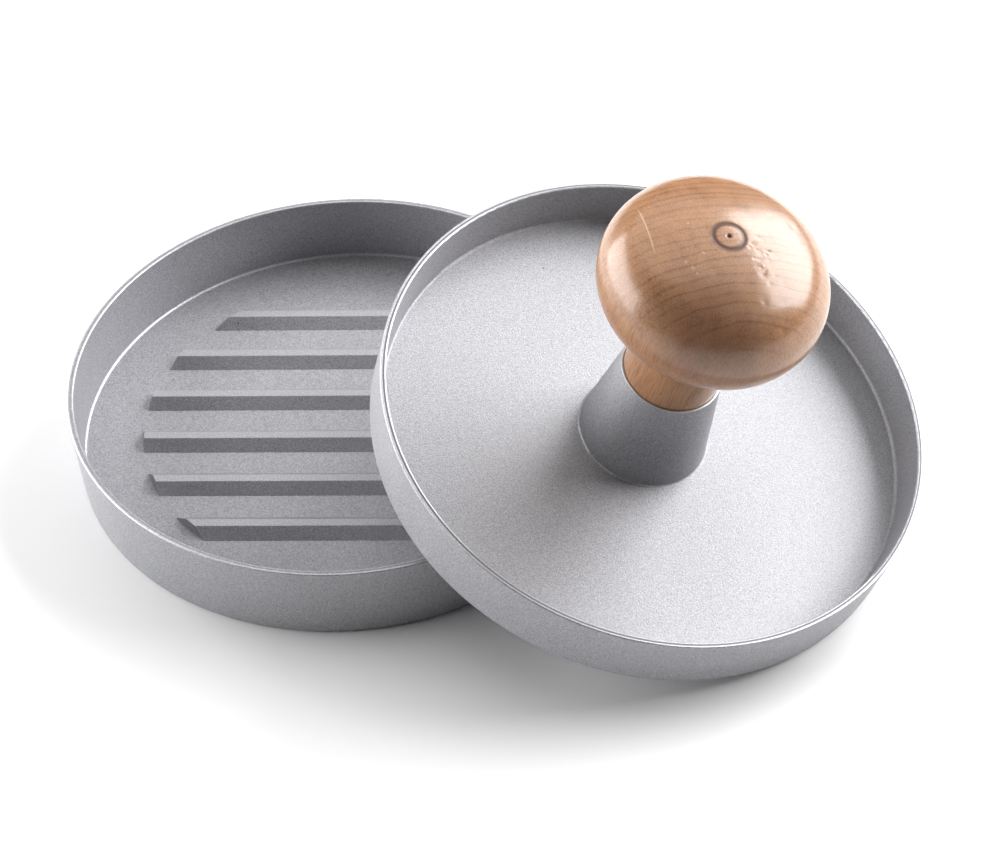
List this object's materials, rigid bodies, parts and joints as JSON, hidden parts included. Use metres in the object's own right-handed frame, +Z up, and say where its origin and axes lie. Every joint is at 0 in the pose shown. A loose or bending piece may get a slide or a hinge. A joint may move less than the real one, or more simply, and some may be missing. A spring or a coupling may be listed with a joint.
{
  "type": "patty press",
  "caption": "Two-piece patty press: a shallow round cast mould with grill ribs, and a rimmed round plate on a conical boss with a turned wooden knob.",
  "frame": {"origin": "middle of the mould's underside, on the surface that it stands on", "axes": "+Z up, +X along the mould's ribs, towards the press that leans on the mould's rim"},
  "size_m": [0.1904, 0.145, 0.089],
  "materials": {
    "cast_aluminium": "bead-blasted satin",
    "lacquered_wood": "gloss lacquer over light hardwood",
    "brass": "turned",
    "stainless_steel": "bright"
  },
  "bodies": {
    "mould": {"mould": "cast_aluminium"},
    "press": {"press_plate": "cast_aluminium", "handle": "lacquered_wood", "threaded_insert": "brass", "handle_screw": "stainless_steel", "spring_washer": "stainless_steel", "flat_washer": "stainless_steel"}
  },
  "joints": [
    {"name": "press_lift", "type": "slide", "parent": "mould", "child": "press", "axis": [0, 0, 1], "range_m": [0, 0.12]}
  ]
}
